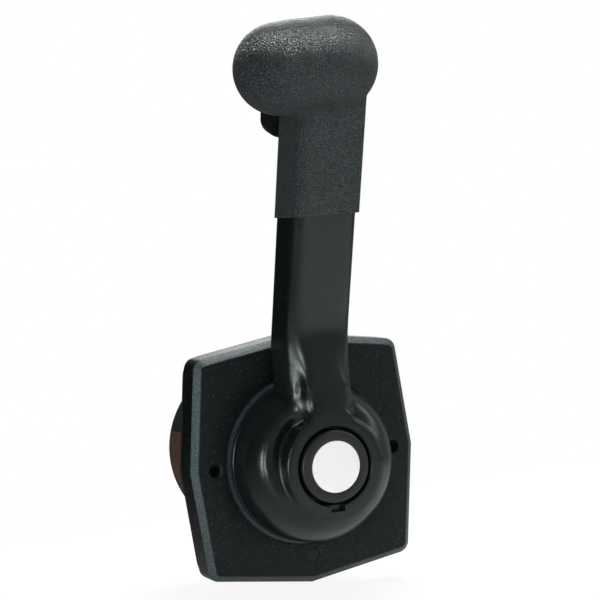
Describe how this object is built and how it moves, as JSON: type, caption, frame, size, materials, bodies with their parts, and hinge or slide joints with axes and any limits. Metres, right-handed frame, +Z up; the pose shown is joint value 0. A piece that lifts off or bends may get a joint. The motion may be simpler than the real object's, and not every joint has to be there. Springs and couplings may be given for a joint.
{
  "type": "boat throttle control lever",
  "caption": "Side-mount boat control: leaning lever with palm knob, finger release and hub button on a domed hub, over a panel plate with the shift and throttle mechanism behind.",
  "frame": {"origin": "where the lever's axis meets the panel face, at the back of the gasket", "axes": "+X aft, +Y into the panel along the lever's axis, +Z up along the lever in neutral"},
  "size_m": [0.131, 0.1852, 0.3032],
  "materials": {
    "textured_plastic": "fine spark-eroded grain, near black",
    "gasket_foam": "black foam rubber",
    "painted_casting": "semi-gloss black paint on die-cast alloy",
    "grip_rubber": "leather-grained black rubber",
    "gloss_plastic": "glossy black moulding",
    "cap_plastic": "satin black moulding",
    "disc_white": "white printed disc",
    "friction_material": "brown phenolic laminate",
    "zinc_steel": "zinc-plated steel",
    "spring_steel": "spring steel",
    "bronze": "sintered bronze",
    "black_housing": "black cast housing",
    "acetal": "natural acetal"
  },
  "bodies": {
    "base": {"cover_plate": "textured_plastic", "plate_gasket": "gasket_foam", "screw_plug": "textured_plastic", "mechanism_housing": "black_housing", "rear_cover": "black_housing", "cover_screws": "zinc_steel", "housing_screws": "zinc_steel", "front_bearing": "bronze", "rear_bearing": "bronze", "lock_ring": "zinc_steel", "detent_ball": "zinc_steel", "detent_spring": "spring_steel", "detent_plug": "zinc_steel", "friction_shoe": "friction_material", "neutral_switch": "gloss_plastic", "cable_bracket": "zinc_steel", "bracket_screws": "zinc_steel", "cable_clamps": "cap_plastic"},
    "lever": {"lever_arm": "painted_casting", "hand_grip": "grip_rubber", "main_shaft": "zinc_steel", "hub_nut": "zinc_steel", "detent_disc": "zinc_steel", "drive_gear": "zinc_steel", "throttle_cam": "acetal", "brake_drum": "zinc_steel", "button_spring": "spring_steel", "trigger_spring": "spring_steel"},
    "trigger": {"release_trigger": "gloss_plastic", "lock_rod": "zinc_steel"},
    "button": {"button_cap": "cap_plastic", "button_disc": "disc_white", "push_rod": "zinc_steel"},
    "shift_link": {"shift_gear": "zinc_steel", "shift_shaft": "zinc_steel", "shift_arm": "zinc_steel", "shift_arm_nut": "zinc_steel"},
    "throttle_link": {"throttle_shaft": "zinc_steel", "throttle_arm": "zinc_steel", "throttle_arm_nut": "zinc_steel", "throttle_follower": "zinc_steel", "cam_roller": "acetal"}
  },
  "joints": [
    {"name": "lever_pivot", "type": "hinge", "parent": "base", "child": "lever", "pos_m": [0, 0, 0], "axis": [0, 1, 0], "range_deg": [-80, 60]},
    {"name": "trigger_lift", "type": "slide", "parent": "lever", "child": "trigger", "axis": [0, -0.2924, 0.9563], "range_m": [0, 0.006], "stiffness_N_per_m": 600, "springref_m": -0.004, "deforming": ["trigger_spring"]},
    {"name": "button_press", "type": "slide", "parent": "lever", "child": "button", "axis": [0, 1, 0], "range_m": [0, 0.005], "stiffness_N_per_m": 500, "springref_m": -0.003, "deforming": ["button_spring"]},
    {"name": "shift_arm_pivot", "type": "hinge", "parent": "base", "child": "shift_link", "pos_m": [0, 0, -0.02813], "axis": [0, 1, 0], "range_deg": [-40.4, 53.8]},
    {"name": "throttle_arm_pivot", "type": "hinge", "parent": "base", "child": "throttle_link", "pos_m": [0.027, 0, 0.01], "axis": [0, 1, 0], "range_deg": [-10, 7.6]}
  ],
  "couplings": [
    {"joint": "shift_arm_pivot", "follows": "lever_pivot", "ratio": -0.66667},
    {"joint": "throttle_arm_pivot", "follows": "lever_pivot", "ratio": 0.12}
  ]
}
